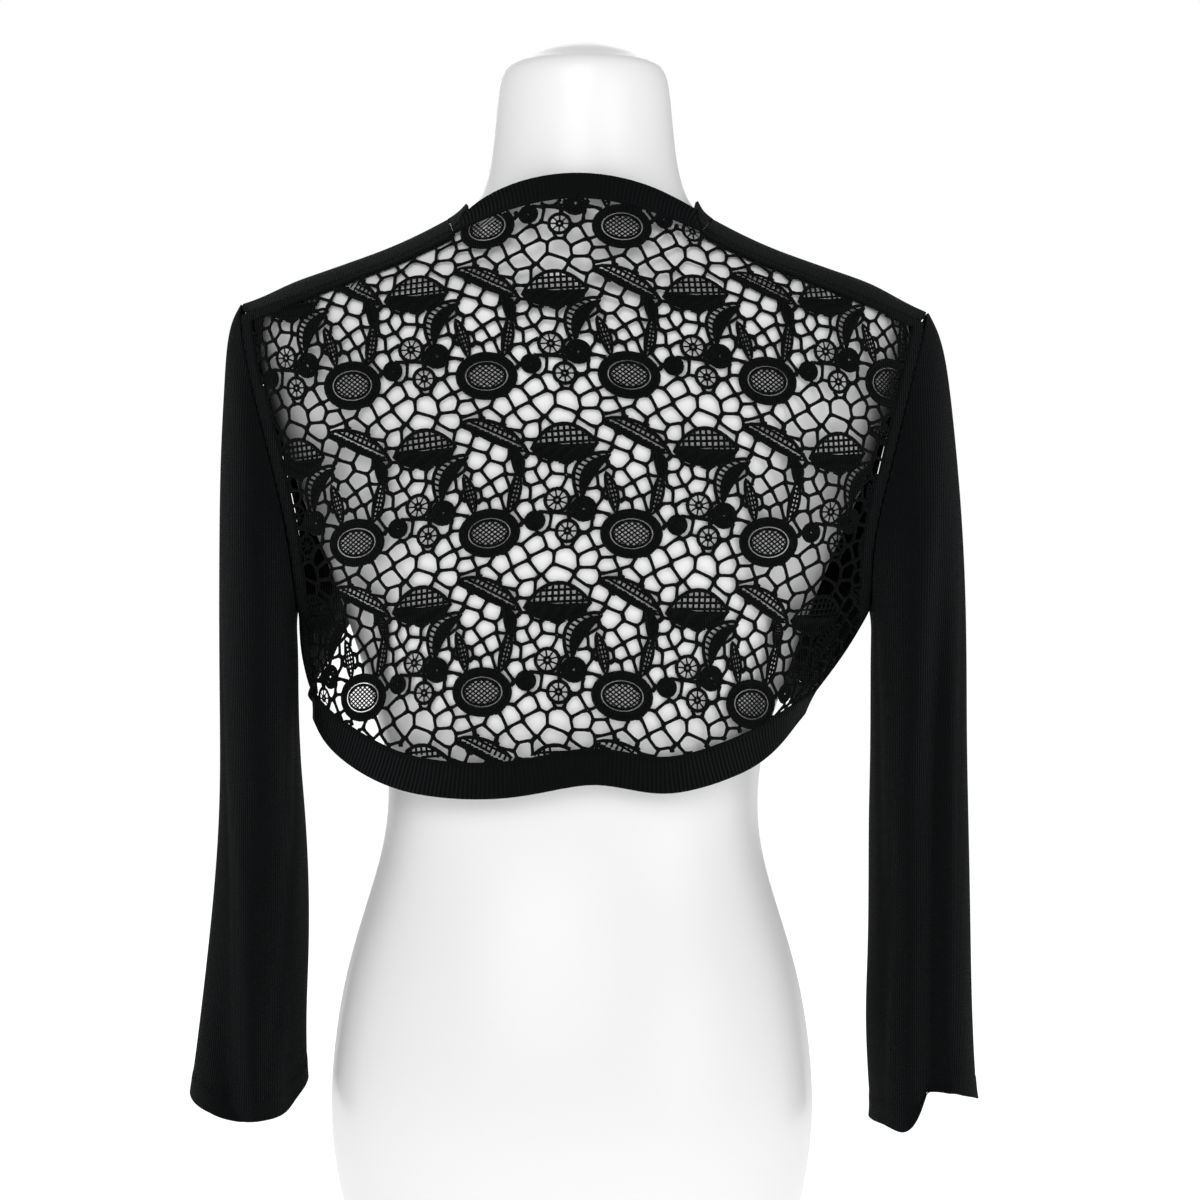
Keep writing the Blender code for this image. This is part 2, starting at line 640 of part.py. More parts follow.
def fold_swell(side, share, angles):
    """How far each point of a sleeve ring keeps from the middle, 1 where there is no fold."""
    swell = np.ones_like(angles)
    for row in FOLDS[side]:
        fold = dict(zip(FOLD_COLUMNS, row))
        start, stop = fold["share_top"], fold["share_bottom"]
        along = (share - start) / (stop - start)
        if not 0 < along < 1:
            continue
        turn = fold["angle_bottom"] - fold["angle_top"]
        centre = math.radians(fold["angle_top"] + turn * along)
        apart = np.abs((angles - centre + math.pi) % (2 * math.pi) - math.pi)
        grown = min(1.0, (share - start) / FOLD_EASE, (stop - share) / FOLD_EASE)
        width = math.radians(fold["spread"])
        swell -= grown * fold["depth"] / SLEEVE_RADIUS * np.exp(-(apart / width) ** 2)
    return swell


def seam_stand_off(side, angles, shares):
    """Move the sleeve head off the panels' edges, most where the two hang side by side."""
    down = ARMHOLE_TOP[side] - ARMHOLE_BOTTOM
    reach = column(ARMHOLE_REACH, ARMHOLE_COLUMNS, side)
    out = np.array((SIDES[side] * down, 0.0, -(reach[0] - reach[-1])))
    out /= np.linalg.norm(out)
    amount = STAND_OFF_TOP + (STAND_OFF_UNDERARM - STAND_OFF_TOP) * (1 - np.cos(angles)) / 2
    fade = np.maximum(0.0, 1 - shares / SEAM_SHAPE_REACH)
    return fade[:, None, None] * amount[None, :, None] * out


def build():
    """Make every piece in its place."""
    for old in list(bpy.data.objects):
        bpy.data.objects.remove(old, do_unlink=True)
    group = bpy.data.collections.new(COLLECTION)
    bpy.context.scene.collection.children.link(group)

    shell_white = material("white_form_shell", (0.86, 0.87, 0.88), 0.32)
    lace_black = material("black_lace", (0.010, 0.012, 0.012), 0.85)
    knit_black = material("black_jersey_knit", (0.009, 0.011, 0.011), 0.90)
    rib_black = material("black_rib_knit", (0.008, 0.010, 0.010), 0.90)

    tree = dress_form(shell_white)
    edges = back_edges(tree)
    grids = {"back_panel": back_grid(tree, edges)}
    fronts = {side: front_grid(tree, edges, side) for side in SIDES}
    for side in SIDES:
        grids["front_" + side] = fronts[side]
    rows, owner = band_grid(tree, edges, grids["back_panel"], fronts)
    grids.update(band_pieces(rows, owner))

    finishes = {name: (KNIT_WALL, knit_black) for name in grids}
    finishes["back_panel"] = (LACE_WALL, lace_black)
    finishes.update({name: (RIB_WALL, rib_black) for name in grids if "band" in name})
    walls = {name: wall for name, (wall, _) in finishes.items()}
    for name, grid in part_at_seams(grids, walls).items():
        cloth(name, grid, *finishes[name])
    for side in SIDES:
        cloth("sleeve_" + side, sleeve_rings(side), KNIT_WALL, knit_black, closed=True)


build()
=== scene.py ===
# %% [markdown]
# # A knitted shrug with a lace back, on a limbless dress form
#
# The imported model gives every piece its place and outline. This file gives them their looks:
# a moulded form, plain jersey, ribbed edges, and a back of corded flower-and-leaf lace that is
# made flat, as it is on a machine, and then laid over the panel.

# %% Load the model and note its box
import bmesh
import bpy
import heapq
import math
import random

import numpy as np
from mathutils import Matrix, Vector
from mathutils.bvhtree import BVHTree
from mathutils.geometry import delaunay_2d_cdt


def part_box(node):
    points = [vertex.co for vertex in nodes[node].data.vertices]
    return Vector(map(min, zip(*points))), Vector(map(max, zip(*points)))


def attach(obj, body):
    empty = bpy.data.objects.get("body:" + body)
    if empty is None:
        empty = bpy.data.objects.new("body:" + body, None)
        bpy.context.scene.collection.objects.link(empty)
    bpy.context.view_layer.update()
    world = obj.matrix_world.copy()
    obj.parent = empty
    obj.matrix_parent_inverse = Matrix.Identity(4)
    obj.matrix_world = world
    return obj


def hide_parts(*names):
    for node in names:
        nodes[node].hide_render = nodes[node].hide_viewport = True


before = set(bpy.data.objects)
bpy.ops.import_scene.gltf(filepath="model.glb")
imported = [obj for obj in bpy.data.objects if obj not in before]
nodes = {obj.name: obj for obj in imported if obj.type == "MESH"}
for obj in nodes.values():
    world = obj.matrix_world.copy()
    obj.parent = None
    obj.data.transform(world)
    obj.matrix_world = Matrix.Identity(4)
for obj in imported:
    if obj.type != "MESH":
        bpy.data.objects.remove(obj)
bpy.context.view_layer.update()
bpy.ops.object.select_all(action="DESELECT")

# %% [markdown]
# ## Camera and light
#
# The garment is seen from behind, level with the middle of the back, from far enough away that
# the sleeves hang straight. A big soft light stands on the camera's side, as in a studio booth
# with white walls, and everything round the object is white.

# %% Camera and lights
CAMERA_PLACE = (-0.0126, 2.2, 0.426)
VIEW_WIDTH = 0.72          # metres across the view at the form's middle

camera_data = bpy.data.cameras.new("camera")
camera_data.sensor_width = 36
camera_data.lens = camera_data.sensor_width * CAMERA_PLACE[1] / VIEW_WIDTH
camera = bpy.data.objects.new("camera", camera_data)
camera.location = CAMERA_PLACE
camera.rotation_euler = (math.radians(90), 0, math.radians(180))
bpy.context.scene.collection.objects.link(camera)
bpy.context.scene.camera = camera

LIGHTS = (
    # name, place, size, watts
    ("key", (0.4, 2.5, 2.0), 1.9, 24),
    ("fill", (-1.6, 2.2, 1.0), 1.4, 8),
    ("front", (0.2, -2.4, 1.6), 1.8, 14),
)
for name, place, size, watts in LIGHTS:
    light = bpy.data.lights.new(name, "AREA")
    light.shape = "DISK"
    light.size = size
    light.energy = watts
    lamp = bpy.data.objects.new(name, light)
    lamp.location = place
    lamp.rotation_euler = (Vector((0, 0, 0.4)) - lamp.location).to_track_quat("-Z", "Y").to_euler()
    bpy.context.scene.collection.objects.link(lamp)

scene = bpy.context.scene
scene.view_settings.view_transform = "Standard"

# %% [markdown]
# ## Small helpers
#
# One function turns a screen colour into the linear values that the shader wants, and one adds a
# node with its settings and links. The materials below are written with these two.

# %% Colour and node helpers
def colour(hex_code):
    """An sRGB hex colour as linear RGBA."""
    channels = [int(hex_code[i:i + 2], 16) / 255 for i in (0, 2, 4)]
    linear = [c / 12.92 if c <= 0.04045 else ((c + 0.055) / 1.055) ** 2.4 for c in channels]
    return (*linear, 1.0)


def add_node(tree, kind, settings=(), values=(), links=()):
    """Add a node with its settings, its socket values and the links into its sockets."""
    node = tree.nodes.new(kind)
    for key, value in dict(settings).items():
        setattr(node, key, value)
    for key, value in dict(values).items():
        node.inputs[key].default_value = value
    for key, source in dict(links).items():
        tree.links.new(source, node.inputs[key])
    return node


def new_material(name, base, roughness, **sockets):
    """A Principled material with its plain values set."""
    made = bpy.data.materials.new(name)
    made.use_nodes = True
    shader = made.node_tree.nodes["Principled BSDF"]
    shader.inputs["Base Color"].default_value = colour(base)
    shader.inputs["Roughness"].default_value = roughness
    for key, value in sockets.items():
        shader.inputs[key.replace("_", " ")].default_value = value
    return made, made.node_tree, shader


# %% White surroundings
world = bpy.data.worlds.new("white_booth")
world.use_nodes = True
scene.world = world
booth = world.node_tree
background = booth.nodes["Background"]
background.inputs["Color"].default_value = (1, 1, 1, 1)
background.inputs["Strength"].default_value = 0.42
seen = add_node(booth, "ShaderNodeBackground", values={"Color": (1, 1, 1, 1), "Strength": 1.0})
path = add_node(booth, "ShaderNodeLightPath")
mix = add_node(
    booth, "ShaderNodeMixShader",
    links={0: path.outputs["Is Camera Ray"], 1: background.outputs[0], 2: seen.outputs[0]},
)
booth.links.new(mix.outputs[0], booth.nodes["World Output"].inputs["Surface"])

paper, tree, shader = new_material("white_backdrop_paper", "c4c4c4", 0.9)
shader.inputs["Emission Color"].default_value = (1, 1, 1, 1)
shader.inputs["Emission Strength"].default_value = 0.80
bpy.ops.mesh.primitive_plane_add(size=120, location=(0, 0, 0))
floor = bpy.context.object
floor.name = "floor"
floor.data.materials.append(paper)
bpy.ops.object.select_all(action="DESELECT")

# %% [markdown]
# ## Working from the model's pieces
#
# Each cloth piece of the model is a closed wall. The outer face of that wall is all that is
# needed here: it is picked by walking over the surface from its farthest face without turning a
# sharp corner. It can then be smoothed, creased, ribbed or corded, and given its thickness again.

# %% Outer wall of a cloth piece
SHARP_TURN = math.radians(50)


def merged_copy(node):
    """A bmesh copy of a CAD node with its loose triangles merged into quads."""
    bm = bmesh.new()
    bm.from_mesh(node.data)
    bm.transform(node.matrix_world)
    bmesh.ops.remove_doubles(bm, verts=bm.verts, dist=2e-5)
    bmesh.ops.join_triangles(
        bm, faces=bm.faces, angle_face_threshold=math.radians(40),
        angle_shape_threshold=math.radians(60),
    )
    return bm


def outer_wall(node, axis):
    """The outer face of a cloth piece's wall, as seen from the axis point, as a bmesh."""
    bm = merged_copy(node)
    bm.normal_update()
    centre = Vector(axis)

    def outwards(face):
        way = face.calc_center_median() - centre
        way.z = 0
        return face.normal.dot(way.normalized()) * math.sqrt(face.calc_area())

    start = max(bm.faces, key=outwards)
    kept, queue = {start}, [start]
    while queue:
        face = queue.pop()
        for edge in face.edges:
            for other in edge.link_faces:
                if other not in kept and edge.calc_face_angle(0.0) < SHARP_TURN:
                    kept.add(other)
                    queue.append(other)
    bmesh.ops.delete(bm, geom=[f for f in bm.faces if f not in kept], context="FACES")
    return bm


def finish_mesh(bm, name):
    """A bmesh as a new smooth-shaded object."""
    mesh = bpy.data.meshes.new(name)
    bm.to_mesh(mesh)
    bm.free()
    mesh.shade_smooth()
    made = bpy.data.objects.new(name, mesh)
    bpy.context.scene.collection.objects.link(made)
    return made


def apply_modifier(piece, name, kind, **settings):
    """Add a modifier with its settings and apply it."""
    modifier = piece.modifiers.new(name, kind)
    for key, value in settings.items():
        setattr(modifier, key, value)
    bpy.ops.object.select_all(action="DESELECT")
    bpy.context.view_layer.objects.active = piece
    piece.select_set(True)
    bpy.ops.object.modifier_apply(modifier=name)
    piece.select_set(False)


def smooth_cloth(piece, levels):
    """Subdivide an open cloth surface, keeping its corners."""
    apply_modifier(
        piece, "soften", "SUBSURF", levels=levels, render_levels=levels,
        boundary_smooth="PRESERVE_CORNERS",
    )


def thicken(piece, wall):
    """Give the cloth its wall, inwards from the surface that was kept."""
    apply_modifier(
        piece, "wall", "SOLIDIFY", thickness=wall, offset=-1.0, use_even_offset=True,
        use_quality_normals=True,
    )


def measured(piece):
    """Print what was made."""
    faces = len(piece.data.polygons)
    print(f"{piece.name}: {faces} faces, {[round(v, 3) for v in piece.dimensions]} m")


# %% [markdown]
# ## The dress form
#
# The form is a hollow moulding in white plastic with a satin gloss, slightly rippled by its
# mould. Its copy is merged and subdivided, with the flat base kept sharp, so that the long
# curves of the waist and the shoulders carry clean reflections.

# %% Moulded plastic of the form
moulded, tree, shader = new_material(
    "moulded_white_plastic", "f3f3f3", 0.34, IOR=1.50, Coat_Weight=0.25, Coat_Roughness=0.26,
)
place = add_node(tree, "ShaderNodeTexCoord")
ripple = add_node(
    tree, "ShaderNodeTexNoise", values={"Scale": 1 / 0.045, "Detail": 2.0},
    links={"Vector": place.outputs["Object"]},
)
grain = add_node(
    tree, "ShaderNodeTexNoise", values={"Scale": 1 / 0.0012, "Detail": 3.0},
    links={"Vector": place.outputs["Object"]},
)
low = add_node(
    tree, "ShaderNodeBump", values={"Strength": 0.25, "Distance": 0.0006},
    links={"Height": ripple.outputs["Fac"]},
)
fine = add_node(
    tree, "ShaderNodeBump", values={"Strength": 0.12, "Distance": 0.00008},
    links={"Height": grain.outputs["Fac"], "Normal": low.outputs["Normal"]},
)
tree.links.new(fine.outputs["Normal"], shader.inputs["Normal"])

# %% Dress form
bm = merged_copy(nodes["dress_form"])
for edge in bm.edges:
    if max(v.co.z for v in edge.verts) < 0.0005:
        edge.smooth = False
crease = bm.edges.layers.float.new("crease_edge")
for edge in bm.edges:
    edge[crease] = 0.0 if edge.smooth else 1.0
form = finish_mesh(bm, "form_body")
smooth_cloth(form, 2)
form.data.materials.append(moulded)
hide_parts("dress_form")
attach(form, "root")
measured(form)

# %% [markdown]
# ## Jersey, rib and lace yarn
#
# All the cloth is one near-black viscose knit. Plain jersey shows fine upright columns of
# stitches and a soft bloom of fibres at a grazing angle; rib shows raised columns across the
# band; lace cord is wrapped thread, slightly smoother. Stitches are drawn about 1.3 mm wide,
# coarser than they are, so that they show at all.

# %% Knit materials
STITCH = 0.0013
RIB_PITCH = 0.0026


def knit_material(name, base, bump_nodes, roughness=0.86, sheen=0.28):
    """A near-black yarn with a soft sheen; bump_nodes adds its stitch heights."""
    made, tree, shader = new_material(
        name, base, roughness, Sheen_Weight=sheen, Sheen_Roughness=0.45,
        Specular_IOR_Level=0.06,
    )
    shader.inputs["Sheen Tint"].default_value = colour("c9d2d4")
    uv = add_node(tree, "ShaderNodeUVMap", settings={"uv_map": "cloth"})
    height = bump_nodes(tree, uv.outputs["UV"])
    place = add_node(tree, "ShaderNodeTexCoord")
    fuzz = add_node(
        tree, "ShaderNodeTexNoise", values={"Scale": 1 / 0.0016, "Detail": 4.0, "Roughness": 0.7},
        links={"Vector": place.outputs["Object"]},
    )
    stitches = add_node(
        tree, "ShaderNodeBump", values={"Strength": 0.85, "Distance": 0.0006},
        links={"Height": height},
    )
    fibres = add_node(
        tree, "ShaderNodeBump", values={"Strength": 0.30, "Distance": 0.0003},
        links={"Height": fuzz.outputs["Fac"], "Normal": stitches.outputs["Normal"]},
    )
    tree.links.new(fibres.outputs["Normal"], shader.inputs["Normal"])
    mottle = add_node(
        tree, "ShaderNodeTexNoise", values={"Scale": 1 / 0.006, "Detail": 3.0},
        links={"Vector": place.outputs["Object"]},
    )
    low_tone = [c * 0.75 for c in colour(base)[:3]] + [1.0]
    high_tone = [c * 1.35 for c in colour(base)[:3]] + [1.0]
    shade = add_node(
        tree, "ShaderNodeMix", settings={"data_type": "RGBA"},
        values={6: low_tone, 7: high_tone}, links={0: mottle.outputs["Fac"]},
    )
    tree.links.new(shade.outputs[2], shader.inputs["Base Color"])
    return made


def jersey_height(tree, uv):
    """Columns of small V-shaped stitches."""
    split = add_node(tree, "ShaderNodeSeparateXYZ", links={"Vector": uv})
    across = add_node(
        tree, "ShaderNodeMath", settings={"operation": "MULTIPLY"},
        values={1: 2 * math.pi / STITCH}, links={0: split.outputs["X"]},
    )
    column_wave = add_node(
        tree, "ShaderNodeMath", settings={"operation": "COSINE"}, links={0: across.outputs[0]},
    )
    lean = add_node(
        tree, "ShaderNodeMath", settings={"operation": "ABSOLUTE"},
        links={0: column_wave.outputs[0]},
    )
    along = add_node(
        tree, "ShaderNodeMath", settings={"operation": "MULTIPLY"},
        values={1: 2 * math.pi / STITCH}, links={0: split.outputs["Y"]},
    )
    tilted = add_node(
        tree, "ShaderNodeMath", settings={"operation": "MULTIPLY_ADD"},
        values={1: 2.0}, links={0: lean.outputs[0], 2: along.outputs[0]},
    )
    row_wave = add_node(
        tree, "ShaderNodeMath", settings={"operation": "SINE"}, links={0: tilted.outputs[0]},
    )
    half = add_node(
        tree, "ShaderNodeMath", settings={"operation": "MULTIPLY_ADD"},
        values={1: 0.35}, links={0: row_wave.outputs[0], 2: column_wave.outputs[0]},
    )
    return half.outputs[0]


def rib_height(tree, uv):
    """Raised columns that run across the band."""
    split = add_node(tree, "ShaderNodeSeparateXYZ", links={"Vector": uv})
    across = add_node(
        tree, "ShaderNodeMath", settings={"operation": "MULTIPLY"},
        values={1: 2 * math.pi / RIB_PITCH}, links={0: split.outputs["X"]},
    )
    wave = add_node(
        tree, "ShaderNodeMath", settings={"operation": "COSINE"}, links={0: across.outputs[0]},
    )
    doubled = add_node(
        tree, "ShaderNodeMath", settings={"operation": "MULTIPLY"}, values={1: 1.6},
        links={0: wave.outputs[0]},
    )
    return doubled.outputs[0]


jersey = knit_material("viscose_jersey_knit", "0a0b0c", jersey_height, sheen=0.035)
rib = knit_material("viscose_rib_knit", "0a0b0c", rib_height, sheen=0.035)
lace_yarn = knit_material("corded_lace_thread", "08090a", jersey_height, roughness=0.72, sheen=0.03)

# %% [markdown]
# ## Sleeves
#
# Each sleeve is a tube of jersey, empty, so it falls into long soft creases. The model has the
# big ones. Finer ones and the line of the turned hem above the cuff are moved into the surface
# after it has been subdivided, along the normal, by amounts under two millimetres.

# %% Surface coordinates and creases
def write_uv(piece, coordinates):
    """Write a UV map in metres from a function of each vertex."""
    mesh = piece.data
    layer = mesh.uv_layers.get("cloth") or mesh.uv_layers.new(name="cloth")
    per_vertex = [coordinates(v.co) for v in mesh.vertices]
    for loop in mesh.loops:
        layer.data[loop.index].uv = per_vertex[loop.vertex_index]


def displace(piece, amount):
    """Move each vertex along its normal by amount(point)."""
    mesh = piece.data
    shifts = [v.normal * amount(v.co) for v in mesh.vertices]
    for vertex, shift in zip(mesh.vertices, shifts):
        vertex.co += shift


def ridge(offset, width):
    """A smooth bump of height 1 at offset 0."""
    return math.exp(-(offset / width) ** 2)


JERSEY_WALL = 0.0012
CUFF_HEM = 0.0145          # height of the turned hem above the cuff's edge
SLEEVE_AXIS = {"left": (0.190, 0.0, 0.3), "right": (-0.200, 0.0, 0.3)}
# Fine creases: angle at the top and bottom, heights at the top and bottom, depth, width in degrees
FINE_CREASES = {
    "left": ((40, 60, 0.42, 0.16, -0.0010, 7), (110, 125, 0.50, 0.20, -0.0008, 8),
             (150, 100, 0.36, 0.14, -0.0012, 8), (75, 88, 0.30, 0.13, 0.0009, 8)),
    "right": ((40, 52, 0.46, 0.13, -0.0009, 8), (105, 118, 0.34, 0.14, 0.0010, 7),
              (140, 128, 0.44, 0.16, -0.0010, 8), (80, 84, 0.50, 0.34, 0.0006, 5)),
}


def sleeve_point(side, point):
    """Angle round the sleeve in degrees, from the outside through the back, and height."""
    axis = SLEEVE_AXIS[side]
    outward = (point.x - axis[0]) * (1 if side == "left" else -1)
    return math.degrees(math.atan2(point.y - axis[1], outward)), point.z


def sleeve_relief(side, edge_height):
    """How far each point of a sleeve is moved by its fine creases and its hem line."""
    def amount(point):
        angle, height = sleeve_point(side, point)
        moved = 0.0
        for angle_top, angle_low, top, low, depth, width in FINE_CREASES[side]:
            along = (top - height) / (top - low)
            if -0.1 < along < 1.2:
                centre = angle_top + (angle_low - angle_top) * along
                fade = min(1.0, max(0.0, (along + 0.1) / 0.3), max(0.0, (1.2 - along) / 0.3))
                moved += depth * fade * ridge(angle - centre, width)
        above = height - edge_height(angle) - CUFF_HEM
        return moved - 0.0005 * ridge(above, 0.0009) + (0.0003 if above < 0 else 0.0)
    return amount


SLEEVE_RADIUS = 0.038      # typical, for the scale of the stitches round the arm

for side in ("left", "right"):
    bm = outer_wall(nodes["sleeve_" + side], SLEEVE_AXIS[side])
    sleeve = finish_mesh(bm, "jersey_sleeve_" + side)
    smooth_cloth(sleeve, 3)
    edge = [sleeve_point(side, v.co) for v in sleeve.data.vertices if v.co.z < 0.16]
    lowest = {}
    for angle, height in edge:
        key = round(angle / 12)
        lowest[key] = min(height, lowest.get(key, 1.0))

    def cuff_height(angle, lowest=lowest):
        return lowest.get(round(angle / 12), 0.13)

    displace(sleeve, sleeve_relief(side, cuff_height))

    def round_and_down(point, side=side):
        return math.radians(sleeve_point(side, point)[0]) * SLEEVE_RADIUS, point.z

    write_uv(sleeve, round_and_down)
    thicken(sleeve, JERSEY_WALL)
    sleeve.data.materials.append(jersey)
    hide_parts("sleeve_" + side)
    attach(sleeve, "root")
    measured(sleeve)

# %% [markdown]
# ## Fronts
#
# The fronts are plain jersey panels that hang open from the shoulders.

# %% Fronts
for side in ("left", "right"):
    bm = outer_wall(nodes["front_" + side], (0.06 if side == "left" else -0.06, 0.03, 0.5))
    front = finish_mesh(bm, "jersey_front_" + side)
    smooth_cloth(front, 2)
    write_uv(front, lambda p: (p.x, p.z - p.y))
    thicken(front, JERSEY_WALL)
    front.data.materials.append(jersey)
    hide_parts("front_" + side)
    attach(front, "root")
    measured(front)

# %% [markdown]
# ## Ribbed bands
#
# One loop of 1x1 rib finishes the nape, the two front edges and the hem. Its ribs stand across
# the band. The pattern therefore needs to know how far along the band each point is: the band's
# own middle line is found by stepping from one end to the other, and each point is measured
# along it.

# %% Middle line of a band, and the distance along it
RIB_WALL = 0.0016


def band_line(piece, steps):
    """Points along the middle of a long narrow piece, from one end to the other."""
    mesh = piece.data
    points = np.array([v.co for v in mesh.vertices])
    links = [[] for _ in mesh.vertices]
    for edge in mesh.edges:
        a, b = edge.vertices
        far = float(np.linalg.norm(points[a] - points[b]))
        links[a].append((b, far))
        links[b].append((a, far))

    def spread(start):
        far = np.full(len(points), np.inf)
        far[start] = 0
        heap = [(0.0, start)]
        while heap:
            reach, here = heapq.heappop(heap)
            if reach > far[here]:
                continue
            for other, step in links[here]:
                if reach + step < far[other]:
                    far[other] = reach + step
                    heapq.heappush(heap, (reach + step, other))
        return far

    first = int(np.argmax(spread(0)))
    far = spread(first)
    bins = np.clip((far / far.max() * steps).astype(int), 0, steps - 1)
    line = np.array([points[bins == i].mean(axis=0) for i in range(steps)])
    for _ in range(2):
        line[1:-1] = (line[:-2] + 2 * line[1:-1] + line[2:]) / 4
    return line


def along_line(line):
    """A function that gives the distance along the line and the distance off it."""
    run = np.concatenate(([0], np.cumsum(np.linalg.norm(np.diff(line, axis=0), axis=1))))

    def place(point):
        p = np.array(point)
        a, b = line[:-1], line[1:]
        span = b - a
        share = np.clip(np.sum((p - a) * span, axis=1) / np.sum(span * span, axis=1), 0, 1)
        near = a + share[:, None] * span
        gap = np.linalg.norm(p - near, axis=1)
        i = int(np.argmin(gap))
        return run[i] + share[i] * (run[i + 1] - run[i]), gap[i]
    return place


BANDS = {
    # axis point inside the band's curve, steps along it, flat width and length
    "neck_band": ((0.0, -0.02, 0.6), 24, (0.152, 0.0145)),
    "hem_band": ((0.0, 0.0, 0.35), 30, (0.370, 0.0205)),
    "front_band_left": ((0.03, 0.06, 0.5), 40, (0.410, 0.0165)),
    "front_band_right": ((-0.03, 0.06, 0.5), 40, (0.420, 0.0165)),
}
for name, (axis, steps, flat) in BANDS.items():
    bm = outer_wall(nodes[name], axis)
    band = finish_mesh(bm, "ribbed_" + name)
    smooth_cloth(band, 2)
    place_on = along_line(band_line(band, steps))
    write_uv(band, place_on)
    thicken(band, RIB_WALL)
    band.data.materials.append(rib)
    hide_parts(name)
    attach(band, "root")
    measured(band)

# %% [markdown]
# ## The lace back
#
# Guipure lace has no ground cloth: motifs of close stitching are joined by a net of twisted
# cords, and the rest is open. It is worked out flat here, one repeat at a time: the motifs first,
# then a net of irregular cells between them. The repeats are laid over the back, and each cord
# becomes a thin round tube on the panel's surface.

# %% Flat places on the back panel
back_bm = outer_wall(nodes["back_panel"], (0.0, -0.05, 0.5))
back_surface = finish_mesh(back_bm, "back_surface")
smooth_cloth(back_surface, 2)
back_bm = bmesh.new()
back_bm.from_mesh(back_surface.data)
back_tree = BVHTree.FromBMesh(back_bm)
LACE_SINK = 0.0007         # the middle of the panel's wall under its outer face
AXIS_Y = -0.02
LEVELS = 90
TURNS = 181
TURN_LIMIT = math.radians(100)


def reach_panel(height, turn):
    """Where a level ray from the body's middle meets the back panel."""
    way = Vector((math.sin(turn), math.cos(turn), 0))
    hit, normal, _, _ = back_tree.ray_cast(Vector((0, AXIS_Y, height)), way)
    if hit is None:
        return None, None
    return hit, normal if normal.dot(way) > 0 else -normal


low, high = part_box("back_panel")
heights = np.linspace(low[2], high[2] + 0.005, LEVELS)
turns = np.linspace(-TURN_LIMIT, TURN_LIMIT, TURNS)
runs = np.zeros((LEVELS, TURNS))
middle_run = np.zeros(LEVELS)
last_middle = None
level_radii = []
for height in heights:
    hits = [reach_panel(height, turn)[0] for turn in turns]
    radii = np.array([math.hypot(h.x, h.y - AXIS_Y) if h else np.nan for h in hits])
    known = ~np.isnan(radii)
    level_radii.append(np.interp(turns, turns[known], radii[known]) if known.sum() > 1 else None)
lowest_known = next(radii for radii in level_radii if radii is not None)
last_radii = lowest_known
for i, height in enumerate(heights):
    radii = last_radii if level_radii[i] is None else level_radii[i]
    last_radii = radii
    xy = np.stack((radii * np.sin(turns), radii * np.cos(turns)), axis=1)
    step = np.concatenate(([0], np.cumsum(np.linalg.norm(np.diff(xy, axis=0), axis=1))))
    runs[i] = step - step[TURNS // 2]
    middle = Vector((0, radii[TURNS // 2], height))
    if last_middle is not None:
        middle_run[i] = middle_run[i - 1] + (middle - last_middle).length
    last_middle = middle


def on_panel(across, up):
    """A flat place on the lace as a point and a normal on the panel, or None off its edge."""
    height = float(np.interp(up, middle_run, heights))
    level = (height - heights[0]) / (heights[1] - heights[0])
    i = int(min(max(level, 0), LEVELS - 2))
    share = min(max(level - i, 0.0), 1.0)
    run = (1 - share) * runs[i] + share * runs[i + 1]
    if not run[0] < across < run[-1]:
        return None
    turn = float(np.interp(across, run, turns))
    hit, normal = reach_panel(height, turn)
    if hit is None:
        return None
    return hit - normal * LACE_SINK, normal


print("lace reaches", round(float(middle_run[-1]), 3), "m up the back")

# %% Motifs of one repeat, drawn flat
TILE_W, TILE_H = 0.080, 0.093
CORD = 0.00105             # radius of the net's twisted cords
OUTLINE = 0.00100          # radius of the heavier cord round each motif
THREAD = 0.00045           # radius of the fine threads inside
CLOSE_STITCH = 0.00150     # spacing of the threads where they fill a leaf


def oval(cx, cy, half_w, half_h, count=22, tilt=0.0):
    """A closed oval outline."""
    points = []
    for i in range(count):
        a = 2 * math.pi * i / count
        x, y = half_w * math.cos(a), half_h * math.sin(a)
        points.append((cx + x * math.cos(tilt) - y * math.sin(tilt),
                       cy + x * math.sin(tilt) + y * math.cos(tilt)))
    return points


def leaf(cx, cy, length, width, tilt, bend=0.0, count=12):
    """A pointed leaf outline; bend curves its spine, as a share of its length."""
    points = []
    for side in (1, -1):
        for i in range(count):
            t = i / count if side == 1 else 1 - i / count
            x = (t - 0.5) * length
            spine = bend * length * (1 - (2 * t - 1) ** 2)
            y = side * width / 2 * math.sin(math.pi * t) ** 0.75 + spine
            points.append((cx + x * math.cos(tilt) - y * math.sin(tilt),
                           cy + x * math.sin(tilt) + y * math.cos(tilt)))
    return points


def inside(polygon, x, y):
    """Whether a point is inside a closed outline."""
    hit = False
    j = len(polygon) - 1
    for i in range(len(polygon)):
        (xi, yi), (xj, yj) = polygon[i], polygon[j]
        if (yi > y) != (yj > y) and x < (xj - xi) * (y - yi) / (yj - yi) + xi:
            hit = not hit
        j = i
    return hit


def everywhere(x, y):
    """Keep every thread point inside the outline."""
    return True


